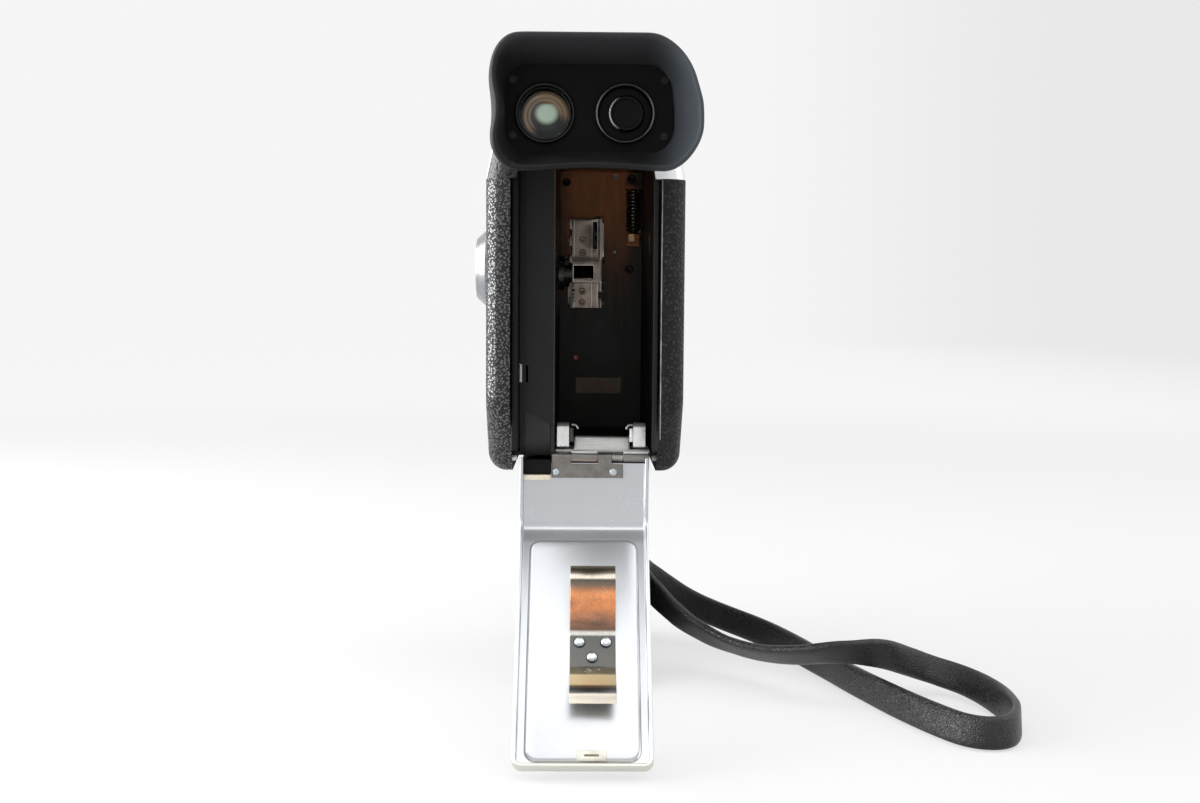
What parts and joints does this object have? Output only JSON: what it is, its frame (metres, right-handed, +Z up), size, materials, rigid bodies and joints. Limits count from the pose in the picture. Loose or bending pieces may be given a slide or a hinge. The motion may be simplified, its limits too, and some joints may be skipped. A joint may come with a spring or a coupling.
{
  "type": "cartridge movie camera",
  "caption": "Upright cartridge movie camera on its grip with the rear film door hanging open, the film gate and hinge bare, a rubber eyecup above and a wrist strap looped over the floor",
  "frame": {"origin": "the mouth of the tripod thread in the foot, on the surface the camera stands on", "axes": "X to the right seen from behind, Y forward to the lens, Z up"},
  "size_m": [0.1492, 0.222, 0.1769],
  "materials": {
    "left_cover": "black grained leatherette",
    "right_cover": "black grained leatherette",
    "top_cover": "black or silver enamel on metal",
    "front_plate": "black or silver enamel on metal",
    "bottom_plate": "black or silver enamel on metal",
    "film_chamber": "black or silver enamel on metal",
    "rear_panel": "black or silver enamel on metal",
    "gate_plate": "nickel-plated steel",
    "chamber_screws": "nickel-plated steel",
    "film_label": "moulded plastic",
    "film_claw": "nickel-plated steel",
    "takeup_spindle": "smooth plastic",
    "takeup_gear": "turned brass",
    "drive_gear": "turned brass",
    "worm_shaft": "nickel-plated steel",
    "drive_motor": "nickel-plated steel",
    "shutter_disc": "black or silver enamel on metal",
    "speed_feeler": "turned brass",
    "feeler_spring": "nickel-plated steel",
    "hinge_bracket": "nickel-plated steel",
    "hinge_clips": "nickel-plated steel",
    "hinge_pin": "nickel-plated steel",
    "hinge_spring": "nickel-plated steel",
    "film_door": "satin aluminium",
    "hinge_leaf": "nickel-plated steel",
    "light_trap": "moulded plastic",
    "trap_lip": "turned brass",
    "pressure_spring": "nickel-plated steel",
    "door_rivets": "nickel-plated steel",
    "door_keeper": "nickel-plated steel",
    "door_latch": "nickel-plated steel",
    "eyepiece_housing": "moulded plastic",
    "eyepiece_plate": "moulded plastic",
    "plate_screws": "nickel-plated steel",
    "eyecup": "moulded rubber",
    "ocular_ring": "smooth plastic",
    "ocular_lens": "coated glass",
    "eyepiece_dial": "smooth plastic",
    "finder_tube": "moulded plastic",
    "lens_barrel": "satin aluminium",
    "relay_lens": "coated glass",
    "zoom_ring": "black or silver enamel on metal",
    "zoom_lever": "nickel-plated steel",
    "focus_ring": "black or silver enamel on metal",
    "front_lens": "coated glass",
    "side_dial": "satin aluminium",
    "cartridge_window": "coated glass",
    "grip_left": "moulded plastic",
    "grip_right": "moulded plastic",
    "grip_foot": "moulded plastic",
    "tripod_bush": "turned brass",
    "battery_cells": "smooth plastic",
    "battery_cover": "moulded plastic",
    "trigger": "smooth plastic",
    "trigger_spring": "nickel-plated steel",
    "trigger_switch": "moulded plastic",
    "strap_clamp": "moulded plastic",
    "strap_stud": "nickel-plated steel",
    "wrist_strap": "black grained leatherette"
  },
  "bodies": {
    "camera": {"left_cover": "left_cover", "right_cover": "right_cover", "top_cover": "top_cover", "front_plate": "front_plate", "bottom_plate": "bottom_plate", "film_chamber": "film_chamber", "rear_panel": "rear_panel", "gate_plate": "gate_plate", "chamber_screws": "chamber_screws", "film_label": "film_label", "drive_motor": "drive_motor", "feeler_spring": "feeler_spring", "hinge_bracket": "hinge_bracket", "hinge_clips": "hinge_clips", "hinge_pin": "hinge_pin", "hinge_spring": "hinge_spring", "eyepiece_housing": "eyepiece_housing", "eyepiece_plate": "eyepiece_plate", "plate_screws": "plate_screws", "eyecup": "eyecup", "ocular_ring": "ocular_ring", "ocular_lens": "ocular_lens", "finder_tube": "finder_tube", "lens_barrel": "lens_barrel", "relay_lens": "relay_lens", "cartridge_window": "cartridge_window", "grip_left": "grip_left", "grip_right": "grip_right", "grip_foot": "grip_foot", "tripod_bush": "tripod_bush", "battery_cells": "battery_cells", "trigger_spring": "trigger_spring", "trigger_switch": "trigger_switch", "strap_clamp": "strap_clamp", "strap_stud": "strap_stud", "wrist_strap": "wrist_strap"},
    "claw": {"film_claw": "film_claw"},
    "takeup": {"takeup_spindle": "takeup_spindle", "takeup_gear": "takeup_gear"},
    "drive": {"drive_gear": "drive_gear"},
    "worm": {"worm_shaft": "worm_shaft"},
    "shutter": {"shutter_disc": "shutter_disc"},
    "feeler": {"speed_feeler": "speed_feeler"},
    "door": {"film_door": "film_door", "hinge_leaf": "hinge_leaf", "light_trap": "light_trap", "trap_lip": "trap_lip", "pressure_spring": "pressure_spring", "door_rivets": "door_rivets", "door_keeper": "door_keeper"},
    "latch": {"door_latch": "door_latch"},
    "dial": {"eyepiece_dial": "eyepiece_dial"},
    "zoom": {"zoom_ring": "zoom_ring", "zoom_lever": "zoom_lever"},
    "focus": {"focus_ring": "focus_ring", "front_lens": "front_lens"},
    "side_knob": {"side_dial": "side_dial"},
    "hatch": {"battery_cover": "battery_cover"},
    "release": {"trigger": "trigger"}
  },
  "joints": [
    {"name": "claw_slide", "type": "slide", "parent": "camera", "child": "claw", "axis": [0, 0, 1], "range_m": [-0.0021, 0.0021]},
    {"name": "shutter_spin", "type": "hinge", "parent": "camera", "child": "shutter", "pos_m": [0, 0.006, 0.11015], "axis": [0, 1, 0], "continuous": true},
    {"name": "worm_spin", "type": "hinge", "parent": "camera", "child": "worm", "pos_m": [-0.014, 0, 0.11015], "axis": [0, 1, 0], "continuous": true},
    {"name": "drive_spin", "type": "hinge", "parent": "camera", "child": "drive", "pos_m": [-0.014, -0.0118, 0.124], "axis": [1, 0, 0], "continuous": true},
    {"name": "takeup_spin", "type": "hinge", "parent": "camera", "child": "takeup", "pos_m": [-0.014, -0.037, 0.124], "axis": [1, 0, 0], "continuous": true},
    {"name": "feeler_slide", "type": "slide", "parent": "camera", "child": "feeler", "axis": [0, 0, 1], "range_m": [0, 0.004], "stiffness_N_per_m": 15, "springref_m": -0.002, "deforming": ["feeler_spring"]},
    {"name": "door_hinge", "type": "hinge", "parent": "camera", "child": "door", "pos_m": [0, -0.08, 0.074], "axis": [1, 0, 0], "range_deg": [-142, 0]},
    {"name": "latch_slide", "type": "slide", "parent": "camera", "child": "latch", "axis": [1, 0, 0], "range_m": [0, 0.003], "stiffness_N_per_m": 100},
    {"name": "eyepiece_dial_turn", "type": "hinge", "parent": "camera", "child": "dial", "pos_m": [0.0091, -0.117, 0.1598], "axis": [0, 1, 0], "range_deg": [-45, 45]},
    {"name": "zoom_turn", "type": "hinge", "parent": "camera", "child": "zoom", "pos_m": [-0.0008, 0.047, 0.125], "axis": [0, 1, 0], "range_deg": [-60, 60]},
    {"name": "focus_turn", "type": "hinge", "parent": "camera", "child": "focus", "pos_m": [-0.0008, 0.075, 0.125], "axis": [0, 1, 0], "range_deg": [-150, 150]},
    {"name": "side_dial_turn", "type": "hinge", "parent": "camera", "child": "side_knob", "pos_m": [-0.028, -0.058, 0.1246], "axis": [1, 0, 0], "range_deg": [-150, 150]},
    {"name": "battery_cover_hinge", "type": "hinge", "parent": "camera", "child": "hatch", "pos_m": [0, -0.0259, 0.014], "axis": [1, 0, 0], "range_deg": [0, 85]},
    {"name": "trigger_slide", "type": "slide", "parent": "camera", "child": "release", "axis": [0, 1, 0], "range_m": [-0.003, 0], "stiffness_N_per_m": 400, "deforming": ["trigger_spring"]}
  ],
  "couplings": [
    {"joint": "worm_spin", "follows": "shutter_spin", "ratio": -1.3},
    {"joint": "drive_spin", "follows": "shutter_spin", "ratio": 0.092857},
    {"joint": "takeup_spin", "follows": "shutter_spin", "ratio": -0.074286}
  ]
}
